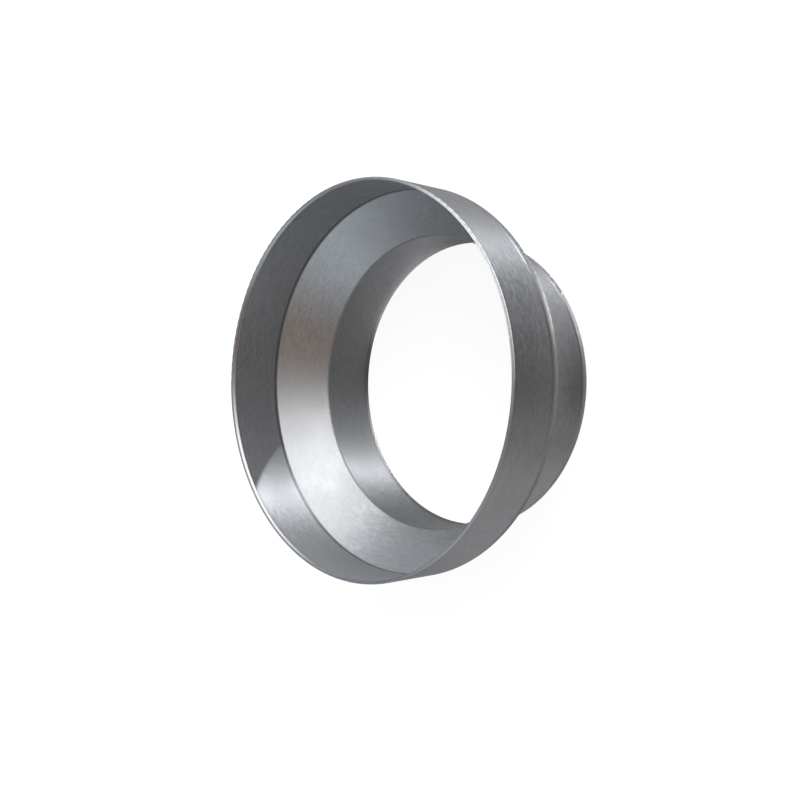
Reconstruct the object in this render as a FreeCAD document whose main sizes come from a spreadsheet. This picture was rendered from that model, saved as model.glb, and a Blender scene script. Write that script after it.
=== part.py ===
import FreeCAD, Part
import os
import Sketcher

# Duct reducer, one turned sheet-metal shell: a short large collar, a straight taper, a short small collar.
# It stands on its small end. The origin is the centre of that end and +Z is the duct's axis.
# Lengths are in millimetres.

doc = FreeCAD.newDocument("duct_reducer")

# Sizes
SIZES = [
    ("large_diameter", 125.0, "outside of the large collar, for a 125 duct"),
    ("small_diameter", 99.0, "outside of the small collar, slides into a 100 duct"),
    ("wall", 1.0, "sheet thickness"),
    ("large_length", 20.5, "outside length of the large collar"),
    ("taper_length", 13.5, "height of the taper between the folds"),
    ("small_length", 20.0, "outside length of the small collar"),
    ("hollow_radius", 0.5, "radius on the hollow side of both folds"),
    ("crest_radius", 1.2, "radius on the crest side of both folds"),
    ("rim_round", 0.5, "radius that rounds the outer edge of the large rim"),
    ("edge_break", 0.25, "width of the bevel that breaks the other end edges"),
]

sheet = doc.addObject("Spreadsheet::Sheet", "sizes")
for row, (name, value, note) in enumerate(SIZES, start=1):
    sheet.set(f"A{row}", name)
    sheet.set(f"B{row}", str(value))
    sheet.set(f"C{row}", note)
    sheet.setAlias(f"B{row}", name)
doc.recompute()

large_radius = sheet.large_diameter / 2
small_radius = sheet.small_diameter / 2
wall = sheet.wall
taper_top = sheet.small_length + sheet.taper_length
height = taper_top + sheet.large_length

# Section of the wall
body = doc.addObject("PartDesign::Body", "reducer")
body.Label = "reducer"
side_plane = next(plane for plane in body.Origin.OriginFeatures if plane.Role == "XZ_Plane")
section = body.newObject("Sketcher::SketchObject", "wall_section")
section.AttachmentSupport = [(side_plane, "")]
section.MapMode = "FlatFace"

corners = [
    (small_radius, 0),
    (small_radius, sheet.small_length),
    (large_radius, taper_top),
    (large_radius, height),
    (large_radius - wall, height),
    (large_radius - wall, taper_top),
    (small_radius - wall, sheet.small_length),
    (small_radius - wall, 0),
]
(SMALL_OUTSIDE, TAPER_OUTSIDE, LARGE_OUTSIDE, LARGE_END,
 LARGE_INSIDE, TAPER_INSIDE, SMALL_INSIDE, SMALL_END) = range(8)
START, END = 1, 2
AXES = -1

for index, corner in enumerate(corners):
    following = corners[(index + 1) % len(corners)]
    section.addGeometry(Part.LineSegment(FreeCAD.Vector(*corner, 0), FreeCAD.Vector(*following, 0)), False)
for index in range(len(corners)):
    section.addConstraint(Sketcher.Constraint("Coincident", index, END, (index + 1) % len(corners), START))
for line in (SMALL_OUTSIDE, LARGE_OUTSIDE, LARGE_INSIDE, SMALL_INSIDE):
    section.addConstraint(Sketcher.Constraint("Vertical", line))
for line in (LARGE_END, SMALL_END):
    section.addConstraint(Sketcher.Constraint("Horizontal", line))
section.addConstraint(Sketcher.Constraint("Parallel", TAPER_OUTSIDE, TAPER_INSIDE))
section.addConstraint(Sketcher.Constraint("PointOnObject", SMALL_OUTSIDE, START, AXES))


def dimension(name, formula, *reference):
    """Add a driving dimension to the wall section and bind it to the sheet."""
    index = section.addConstraint(Sketcher.Constraint(*reference))
    section.renameConstraint(index, name)
    section.setExpression("Constraints." + name, formula)


dimension("small_radius", "sizes.small_diameter / 2",
          "DistanceX", AXES, START, SMALL_OUTSIDE, START, small_radius)
dimension("large_radius", "sizes.large_diameter / 2",
          "DistanceX", AXES, START, LARGE_OUTSIDE, START, large_radius)
dimension("small_length", "sizes.small_length",
          "DistanceY", SMALL_OUTSIDE, START, SMALL_OUTSIDE, END, sheet.small_length)
dimension("taper_length", "sizes.taper_length",
          "DistanceY", TAPER_OUTSIDE, START, TAPER_OUTSIDE, END, sheet.taper_length)
dimension("large_length", "sizes.large_length",
          "DistanceY", LARGE_OUTSIDE, START, LARGE_OUTSIDE, END, sheet.large_length)
dimension("large_wall", "sizes.wall", "DistanceX", LARGE_END, END, LARGE_END, START, wall)
dimension("small_wall", "sizes.wall", "DistanceX", SMALL_END, START, SMALL_END, END, wall)
dimension("taper_wall", "sizes.wall", "Distance", TAPER_INSIDE, START, TAPER_OUTSIDE, wall)

# Turned shell
shell = body.newObject("PartDesign::Revolution", "turned_shell")
shell.Profile = section
shell.ReferenceAxis = (section, ["V_Axis"])
shell.Angle = 360
doc.recompute()


def rings(feature, places):
    """Names of the circular edges of a feature at the given (radius, height) places."""
    names = []
    for number, edge in enumerate(feature.Shape.Edges, start=1):
        if not isinstance(edge.Curve, Part.Circle):
            continue
        place = (edge.Curve.Radius, edge.Curve.Center.z)
        if any(abs(place[0] - radius) < 1e-4 and abs(place[1] - z) < 1e-4 for radius, z in places):
            names.append(f"Edge{number}")
    return names


def section_point(line, end):
    """Radius and height of one end of a line of the solved section."""
    point = section.getPoint(line, end)
    return point.x, point.y


# Folds: one radius on the hollow side of both, and another on the crest
hollow_side = body.newObject("PartDesign::Fillet", "fold_hollow_side")
hollow_places = [section_point(TAPER_OUTSIDE, START), section_point(TAPER_INSIDE, START)]
hollow_side.Base = (shell, rings(shell, hollow_places))
hollow_side.setExpression("Radius", "sizes.hollow_radius")
doc.recompute()

crest = body.newObject("PartDesign::Fillet", "fold_crest")
crest_places = [section_point(TAPER_OUTSIDE, END), section_point(TAPER_INSIDE, END)]
crest.Base = (hollow_side, rings(hollow_side, crest_places))
crest.setExpression("Radius", "sizes.crest_radius")
doc.recompute()

# The large rim is rounded outside, and the other end edges are broken, never wider than the wall has room for
rim = body.newObject("PartDesign::Fillet", "rim_round")
rim.Base = (crest, rings(crest, [section_point(LARGE_END, START)]))
rim.setExpression("Radius", "min(sizes.rim_round; sizes.wall * 0.5)")
doc.recompute()

ends = body.newObject("PartDesign::Chamfer", "end_edges")
end_places = [section_point(LARGE_END, END), section_point(SMALL_END, START), section_point(SMALL_END, END)]
ends.Base = (rim, rings(rim, end_places))
ends.setExpression("Size", "min(sizes.edge_break; sizes.wall * 0.45)")
body.Tip = ends
body.Placement = FreeCAD.Placement()
doc.recompute()

# Check the document, then write the piece
for item in doc.Objects:
    if "Invalid" in item.State or "Error" in item.State:
        raise RuntimeError(f"{item.Name} failed to build: {item.State}")
if section.solve() != 0:
    raise RuntimeError("the wall section is not solved")
if body.Shape.isNull() or not body.Shape.isValid() or len(body.Shape.Solids) != 1:
    raise RuntimeError("the reducer is not one valid solid")

box = body.Shape.optimalBoundingBox()
print(f"reducer: {box.XLength:.3f} x {box.YLength:.3f} x {box.ZLength:.3f} mm, "
      f"volume {body.Shape.Volume:.1f} mm3, {len(body.Shape.Faces)} faces")

os.makedirs("parts", exist_ok=True)
body.Shape.exportStep(f"parts/{body.Label}.step")
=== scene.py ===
import math

import bpy
from mathutils import Matrix, Vector


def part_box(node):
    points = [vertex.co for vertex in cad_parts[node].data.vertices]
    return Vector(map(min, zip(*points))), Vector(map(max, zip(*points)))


# Duct reducer in brushed steel: a large collar, a straight taper and a small collar in one turned shell.
# It stands on its small end, and the camera looks down into the large opening, turned a quarter round,
# so that the duct's axis lies across the picture. Lengths are in metres.

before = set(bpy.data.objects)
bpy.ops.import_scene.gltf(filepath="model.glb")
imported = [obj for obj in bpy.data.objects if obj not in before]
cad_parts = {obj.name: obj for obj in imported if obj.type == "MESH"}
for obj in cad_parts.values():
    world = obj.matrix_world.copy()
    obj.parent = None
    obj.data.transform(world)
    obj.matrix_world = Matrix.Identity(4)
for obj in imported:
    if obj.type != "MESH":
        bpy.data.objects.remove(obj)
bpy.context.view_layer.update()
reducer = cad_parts["reducer"]
MM = 0.001

# Heights and radii of the shell, read from its own box and the drawing's sizes
low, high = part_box("reducer")
HEIGHT = high.z
LARGE_RADIUS = high.x
LARGE_FOLD = 33.5 * MM


class Socket:
    """A shader socket that Python arithmetic can be done on."""

    def __init__(self, tree, socket):
        self.tree, self.socket = tree, socket

    def _math(self, operation, *values):
        return self.tree.node("ShaderNodeMath", {"operation": operation}, *values)

    def __add__(self, other):
        return self._math("ADD", self, other)

    def __sub__(self, other):
        return self._math("SUBTRACT", self, other)

    def __mul__(self, other):
        return self._math("MULTIPLY", self, other)

    def __truediv__(self, other):
        return self._math("DIVIDE", self, other)

    def __gt__(self, other):
        return self._math("GREATER_THAN", self, other)

    def __lt__(self, other):
        return self._math("LESS_THAN", self, other)

    def __rsub__(self, other):
        return self._math("SUBTRACT", other, self)

    def __abs__(self):
        return self._math("ABSOLUTE", self)

    __radd__ = __add__
    __rmul__ = __mul__

    def at_most(self, other):
        return self._math("MINIMUM", self, other)

    def at_least(self, other):
        return self._math("MAXIMUM", self, other)

    def part(self, name):
        """Another output of the same node."""
        return Socket(self.tree, self.socket.node.outputs[name])

    def ramp(self, start, end, low=0.0, high=1.0):
        """Goes smoothly from low to high while the value goes from start to end."""
        return self.tree.node("ShaderNodeMapRange", {"interpolation_type": "SMOOTHSTEP"}, self, start, end, low, high)


class Tree:
    """The nodes of one material or world."""

    def __init__(self, owner):
        owner.use_nodes = True
        self.nodes, self.links = owner.node_tree.nodes, owner.node_tree.links
        self.nodes.clear()

    def node(self, kind, settings=None, *values, **named):
        """Adds a node: its settings first, then the values or links of its sockets. Returns its first output."""
        node = self.nodes.new(kind)
        for name, value in (settings or {}).items():
            if name == "stops":
                self._stops(node.color_ramp, value)
            else:
                setattr(node, name, value)
        for key, value in [*enumerate(values), *named.items()]:
            if value is None:
                continue
            socket = node.inputs[key if isinstance(key, int) else key.replace("_", " ")]
            if isinstance(value, Socket):
                self.links.new(value.socket, socket)
            else:
                socket.default_value = value
        return Socket(self, next(s for s in node.outputs if s.enabled)) if node.outputs else node

    def _stops(self, ramp, stops):
        ramp.interpolation = "EASE"
        while len(ramp.elements) < len(stops):
            ramp.elements.new(1.0)
        for element, (place, colour) in zip(ramp.elements, stops):
            element.position, element.color = place, colour

    def vector(self, operation, *values):
        return self.node("ShaderNodeVectorMath", {"operation": operation}, *values)

    def scaled(self, vector, factor):
        return self.node("ShaderNodeVectorMath", {"operation": "SCALE"}, vector, Scale=factor)

    def mix(self, factor, a, b, blend="MIX"):
        """Mixes two colours."""
        node = self.nodes.new("ShaderNodeMix")
        node.data_type, node.blend_type = "RGBA", blend
        for index, value in ((0, factor), (6, a), (7, b)):
            if isinstance(value, Socket):
                self.links.new(value.socket, node.inputs[index])
            else:
                node.inputs[index].default_value = value
        return Socket(self, node.outputs[2])


def material(name):
    made = bpy.data.materials.new(name)
    return made, Tree(made)


def grey(level, alpha=1.0):
    return (level, level, level, alpha)


def brushed_steel():
    """Satin steel brushed round the axis, with soft burnished edges."""
    made, tree = material("brushed_steel")
    place = tree.node("ShaderNodeTexCoord").part("Object")
    x = tree.node("ShaderNodeSeparateXYZ", None, place)
    y, z = x.part("Y"), x.part("Z")
    across = tree.vector("MULTIPLY", place, (1, 1, 0))
    outward = tree.vector("NORMALIZE", across)
    radius = tree.vector("LENGTH", across).part("Value")
    along = z + radius * 0.4

    # Brushing: long thin streaks round the axis, so the noise is stretched round it and fine along the wall
    def streaks(around, cell, detail, rough=0.6):
        spread = tree.scaled(outward, around)
        lift = tree.node("ShaderNodeCombineXYZ", None, 0.0, 0.0, along / cell)
        spot = tree.vector("ADD", spread, lift)
        return tree.node("ShaderNodeTexNoise", None, Vector=spot, Scale=1.0, Detail=detail, Roughness=rough)

    fine = streaks(36.0, 0.35 * MM, 2.0)
    coarse = streaks(17.0, 0.95 * MM, 2.0)
    cloud = streaks(2.6, 14.0 * MM, 2.0)
    grain = fine * 0.6 + coarse * 0.4

    normal = tree.node("ShaderNodeNewGeometry").part("Normal")
    facing = tree.vector("DOT_PRODUCT", normal, outward).part("Value")
    outside, inside = facing > 0.71, facing < -0.8

    # The folds and the broken edges are smooth, so the streaks stop there
    turn = abs(facing)
    smooth = (turn > 0.73) * (turn < 0.985) + (turn > 0.3) * (turn < 0.715)
    grain = grain * (1 - smooth) + smooth * 0.5

    def rolled(side, none, full):
        """1 on the wall from the height full on, down to 0 at the height none."""
        return side * z.ramp(none, full) * (z < HEIGHT)

    def line(side, middle, half):
        """1 on a thin ring of the wall round the given height, 0 from half its width away on."""
        return side * abs(z - middle).ramp(half, half * 0.25)

    # Rolled bands beside the edges, where the sheet leans down or up a little and is burnished
    fold_band = rolled(outside, LARGE_FOLD + 2.6 * MM, LARGE_FOLD + 0.9 * MM) * (z > LARGE_FOLD - 1.0 * MM)
    foot_band = rolled(outside, 2.6 * MM, 1.5 * MM)
    foot_band_inside = rolled(inside, 1.9 * MM, 0.6 * MM)
    rim_band = rolled(inside, HEIGHT - 1.8 * MM, HEIGHT - 0.7 * MM)
    shoulders = line(outside, LARGE_FOLD + 2.9 * MM, 0.6 * MM) + line(outside, 2.7 * MM, 0.6 * MM)
    up = (fold_band + foot_band + foot_band_inside) * -0.2 + rim_band * 0.75 + shoulders * 0.12
    burnished = (fold_band + foot_band_inside + rim_band + shoulders * 0.7).at_most(1.0)

    # The rim's edge is worn round on one side, and a little opposite
    at_top = z > HEIGHT - 0.24 * MM
    side = tree.node("ShaderNodeSeparateXYZ", None, outward).part("Y")
    worn = side.ramp(0.2, -0.4)
    flat = at_top * (abs(facing) < 0.3)
    inner_edge = at_top * (facing < -0.5) * (facing > -0.8)
    out = flat * (worn * 0.85 + side.ramp(0.75, 0.95) * 0.4) + inner_edge * (worn * 0.95 + 0.2)

    # Streaks turn the shine round the axis
    round_axis = tree.vector("CROSS_PRODUCT", (0, 0, 1), outward)
    lean = tree.vector("ADD", tree.scaled(round_axis, (grain - 0.5) * 0.2), tree.node("ShaderNodeCombineXYZ", None, 0.0, 0.0, up))
    lean = tree.vector("ADD", lean, tree.scaled(outward, out))
    # The shell is turned, so its normal has no part round the axis
    level = tree.node("ShaderNodeSeparateXYZ", None, normal).part("Z")
    turned = tree.vector("ADD", tree.scaled(outward, facing), tree.node("ShaderNodeCombineXYZ", None, 0.0, 0.0, level))
    leaned = tree.vector("NORMALIZE", tree.vector("ADD", turned, lean))
    scratched = tree.node("ShaderNodeBump", None, Strength=0.35, Distance=0.02 * MM, Height=grain, Normal=leaned)

    # Painted shade: thin dark lines in the steel's colour stand in for the shade in the inner crease and the dark
    # reflections beside the rolled bands
    painted_shade_lines = (
        line(inside, LARGE_FOLD + 1.2 * MM, 0.8 * MM) * 0.65
        + line(inside, 1.95 * MM, 0.4 * MM) * 0.35
        + line(inside, HEIGHT - 1.75 * MM, 0.35 * MM) * 0.3
        + line(outside, HEIGHT - 1.15 * MM, 0.4 * MM) * 0.15
    )

    tone = grain.ramp(0.3, 0.7)
    steel = tree.mix(tone, (0.47, 0.475, 0.49, 1), (0.63, 0.635, 0.65, 1))
    steel = tree.mix(cloud.ramp(0.35, 0.65) * 0.35, steel, (0.50, 0.50, 0.51, 1))
    # Painted shade: the thin lines darken the steel's colour towards a dark grey
    steel = tree.mix(painted_shade_lines, steel, (0.16, 0.16, 0.17, 1))
    rough = 0.40 + tone * 0.05 + cloud.ramp(0.3, 0.7) * 0.04 - burnished * 0.1 + inside * 0.015
    shader = tree.node(
        "ShaderNodeBsdfPrincipled", None,
        Base_Color=steel, Metallic=1.0, Roughness=rough, Anisotropic=0.2, Anisotropic_Rotation=0.25, Normal=scratched,
    )
    tree.node("ShaderNodeOutputMaterial", None, shader)
    return made


def seen(tree):
    """1 for what the camera sees, also in or through the object, and 0 for light on its way."""
    path = tree.node("ShaderNodeLightPath")
    return path.part("Is Camera Ray").at_least(path.part("Is Glossy Ray")).at_least(path.part("Is Transmission Ray"))


def toned(name, tones):
    """A card whose tone changes with the azimuth: tones is a list of (azimuth, level, tint)."""
    made, tree = material(name)
    place = tree.node("ShaderNodeTexCoord").part("Object")
    x = tree.node("ShaderNodeSeparateXYZ", None, place)
    turn = tree.node("ShaderNodeMath", {"operation": "ARCTAN2"}, x.part("Y") * -1, x * -1) / (2 * math.pi) + 0.5
    stops = [(a / 360, (level * tint[0], level * tint[1], level * tint[2], 1)) for a, level, tint in tones]
    tone = tree.node("ShaderNodeValToRGB", {"stops": stops}, turn)
    tree.node("ShaderNodeOutputMaterial", None, tree.node("ShaderNodeEmission", None, tone, 1.0))
    made.cycles.emission_sampling = "NONE"
    return made


def sheet(name, corners, faces, finish):
    """A flat or folded stage card."""
    mesh = bpy.data.meshes.new(name)
    mesh.from_pydata(corners, [], faces)
    mesh.materials.append(finish)
    card = bpy.data.objects.new(name, mesh)
    bpy.context.scene.collection.objects.link(card)
    return card


def reflector(card):
    """The card is outside the picture: only the steel sees it."""
    card.visible_camera = card.visible_shadow = card.visible_diffuse = card.visible_transmission = False
    return card


def towards(azimuth, elevation, reach=1.0):
    a, e = math.radians(azimuth), math.radians(elevation)
    return Vector((math.cos(a) * math.cos(e), math.sin(a) * math.cos(e), math.sin(e))) * reach


def apron(name, inner, outer, tones, lift):
    """A ring-shaped card lying on the floor."""
    steps = 72
    corners = [tuple(towards(i * 360 / steps, 0, r) + Vector((0, 0, lift))) for i in range(steps) for r in (inner, outer)]
    faces = [(2 * i, 2 * i + 1, (2 * i + 3) % (2 * steps), (2 * i + 2) % (2 * steps)) for i in range(steps)]
    return reflector(sheet(name, corners, faces, toned(name, tones)))


def tent(name, elevations, tones, reach=1.6):
    """A grey tent round the set."""
    low, high = elevations
    columns, rows = 48, 8
    corners = [tuple(towards(i * 360 / columns, low + (high - low) * j / rows, reach)) for j in range(rows + 1) for i in range(columns)]
    faces = [
        (j * columns + i, j * columns + (i + 1) % columns, (j + 1) * columns + (i + 1) % columns, (j + 1) * columns + i)
        for j in range(rows) for i in range(columns)
    ]
    return reflector(sheet(name, corners, faces, toned(name, tones)))


def soft_box(name, azimuth, elevation, reach, width, height, watts, tint=(1, 1, 1)):
    lamp = bpy.data.lights.new(name, "AREA")
    lamp.shape, lamp.size, lamp.size_y, lamp.energy, lamp.color = "RECTANGLE", width, height, watts, tint
    box = bpy.data.objects.new(name, lamp)
    bpy.context.scene.collection.objects.link(box)
    box.location = towards(azimuth, elevation, reach) + Vector((0, 0, 0.03))
    box.rotation_euler = towards(azimuth, elevation).to_track_quat("Z", "Y").to_euler()
    box.visible_camera = False
    lamp.cycles.use_multiple_importance_sampling = elevation > 0
    return box


def low_sun(name, azimuth, elevation, strength, width, tint):
    lamp = bpy.data.lights.new(name, "SUN")
    lamp.energy, lamp.angle, lamp.color = strength, math.radians(width), tint
    lamp.cycles.use_multiple_importance_sampling = False
    sun = bpy.data.objects.new(name, lamp)
    bpy.context.scene.collection.objects.link(sun)
    sun.rotation_euler = towards(azimuth, elevation).to_track_quat("Z", "Y").to_euler()
    return sun


# The reducer keeps its turned shell and gets its finish
steel = brushed_steel()
for slot in reducer.material_slots:
    slot.material = steel

# Floor and backdrop: white where they are seen, plain pale where they only pass light on
floor_finish, tree = material("floor")
pale = tree.node("ShaderNodeBsdfDiffuse", None, Color=grey(0.30))
shine = tree.node("ShaderNodeEmission", None, Color=grey(1.0), Strength=seen(tree) * 0.86)
tree.node("ShaderNodeOutputMaterial", None, tree.node("ShaderNodeAddShader", None, pale, shine))
floor_finish.cycles.emission_sampling = "NONE"
floor = sheet("floor", [(-4, -4, 0), (4, -4, 0), (4, 4, 0), (-4, 4, 0)], [(0, 1, 2, 3)], floor_finish)
floor.visible_shadow = False

world = bpy.data.worlds.new("studio")
bpy.context.scene.world = world
tree = Tree(world)
tree.node("ShaderNodeOutputWorld", None, tree.node("ShaderNodeBackground", None, Color=grey(1.0), Strength=0.5 + seen(tree) * 0.5))

# Grey cards that the steel shows
PLAIN, COOL, WARM = (1, 1, 1), (0.90, 1, 1.08), (1.9, 1.05, 0.5)
apron("floor_card", 0.049, 1.62, [
    (0, 0.27, PLAIN), (30, 0.2, PLAIN), (65, 0.12, PLAIN), (110, 0.12, PLAIN), (135, 0.27, PLAIN), (180, 0.27, PLAIN), (200, 0.37, PLAIN),
    (230, 0.38, PLAIN), (250, 0.22, PLAIN), (270, 0.085, PLAIN), (300, 0.1, PLAIN), (325, 0.2, PLAIN), (345, 0.26, PLAIN), (360, 0.27, PLAIN),
], 0.00005)
apron("fold_card", 0.063, 0.078, [
    (0, 0.3, PLAIN), (180, 0.3, PLAIN), (225, 0.18, PLAIN), (250, 0.27, PLAIN), (262, 0.4, PLAIN), (285, 0.48, PLAIN), (320, 0.48, PLAIN), (360, 0.3, PLAIN),
], 0.00015)
apron("foot_card_inside", 0.0462, 0.049, [
    (0, 0.2, PLAIN), (30, 0.55, PLAIN), (60, 0.5, PLAIN), (78, 0.1, PLAIN), (90, 0.08, PLAIN), (110, 0.3, PLAIN), (150, 0.1, PLAIN), (180, 0.1, PLAIN), (360, 0.2, PLAIN),
], 0.00015)
apron("floor_card_centre", 0.0, 0.018, [(0, 0.05, PLAIN), (360, 0.05, PLAIN)], 0.00015)
apron("foot_card", 0.049, 0.0504, [
    (0, 0.3, PLAIN), (180, 0.3, PLAIN), (225, 0.3, PLAIN), (250, 0.3, PLAIN), (285, 0.34, PLAIN), (320, 0.36, PLAIN), (360, 0.3, PLAIN),
], 0.00015)
apron("floor_card_inside", 0.0, 0.049, [
    (0, 0.12, PLAIN), (10, 0.14, PLAIN), (30, 0.33, PLAIN), (50, 0.24, PLAIN), (70, 0.2, PLAIN), (90, 0.13, PLAIN), (150, 0.2, PLAIN), (172, 0.28, PLAIN), (230, 0.12, PLAIN), (360, 0.12, PLAIN),
], 0.00005)
tent("tent", (1, 90), [
    (0, 0.4, COOL), (45, 0.4, COOL), (90, 0.24, PLAIN), (145, 0.44, COOL), (172, 0.82, COOL), (198, 0.6, COOL), (228, 0.1, WARM), (250, 0.12, WARM), (275, 0.24, PLAIN), (300, 0.45, PLAIN), (360, 0.4, COOL),
])
tent("low_tent", (1, 12), [
    (0, 0.4, COOL), (60, 0.3, COOL), (100, 0.08, PLAIN), (165, 0.1, PLAIN), (205, 0.4, COOL), (300, 0.4, PLAIN), (360, 0.4, COOL),
], 1.5)

# A card under the floor keeps the lamps from below off the taper's far side
steps = 12
flag = [tuple(towards(8 + i * 10, 0, r) - Vector((0, 0, 0.0005))) for i in range(steps + 1) for r in (0.0497, 0.092)]
flag = sheet("under_flag", flag, [(2 * i, 2 * i + 1, 2 * i + 3, 2 * i + 2) for i in range(steps)], floor_finish)
flag.visible_camera = flag.visible_diffuse = flag.visible_glossy = flag.visible_transmission = False

soft_box("key_box", 335, 34, 0.9, 1.45, 0.66, 6.2)
soft_box("under_box", 356.0, -70.3, 0.55, 0.27, 0.12, 0.19)
low_sun("low_lamp", 340.5, -31, 0.52, 1.0, (0.965, 1, 1.035))

# Camera
camera_data = bpy.data.cameras.new("camera")
camera_data.lens, camera_data.sensor_width = 46.52, 36
camera_data.clip_start = 0.01
camera = bpy.data.objects.new("camera", camera_data)
bpy.context.scene.collection.objects.link(camera)
CAMERA_PLACE = Vector((0.0, -0.23237, 0.27367))
CAMERA_AIM = Vector((-0.00560, -0.01033, 0.04363))
PICTURE_UP = Vector((0.99960, 0.02828, 0.00294))
back = (CAMERA_PLACE - CAMERA_AIM).normalized()
right = PICTURE_UP.cross(back).normalized()
camera.matrix_world = Matrix.Translation(CAMERA_PLACE) @ Matrix((right, back.cross(right), back)).transposed().to_4x4()
bpy.context.scene.camera = camera
bpy.context.scene.view_settings.view_transform = "Standard"
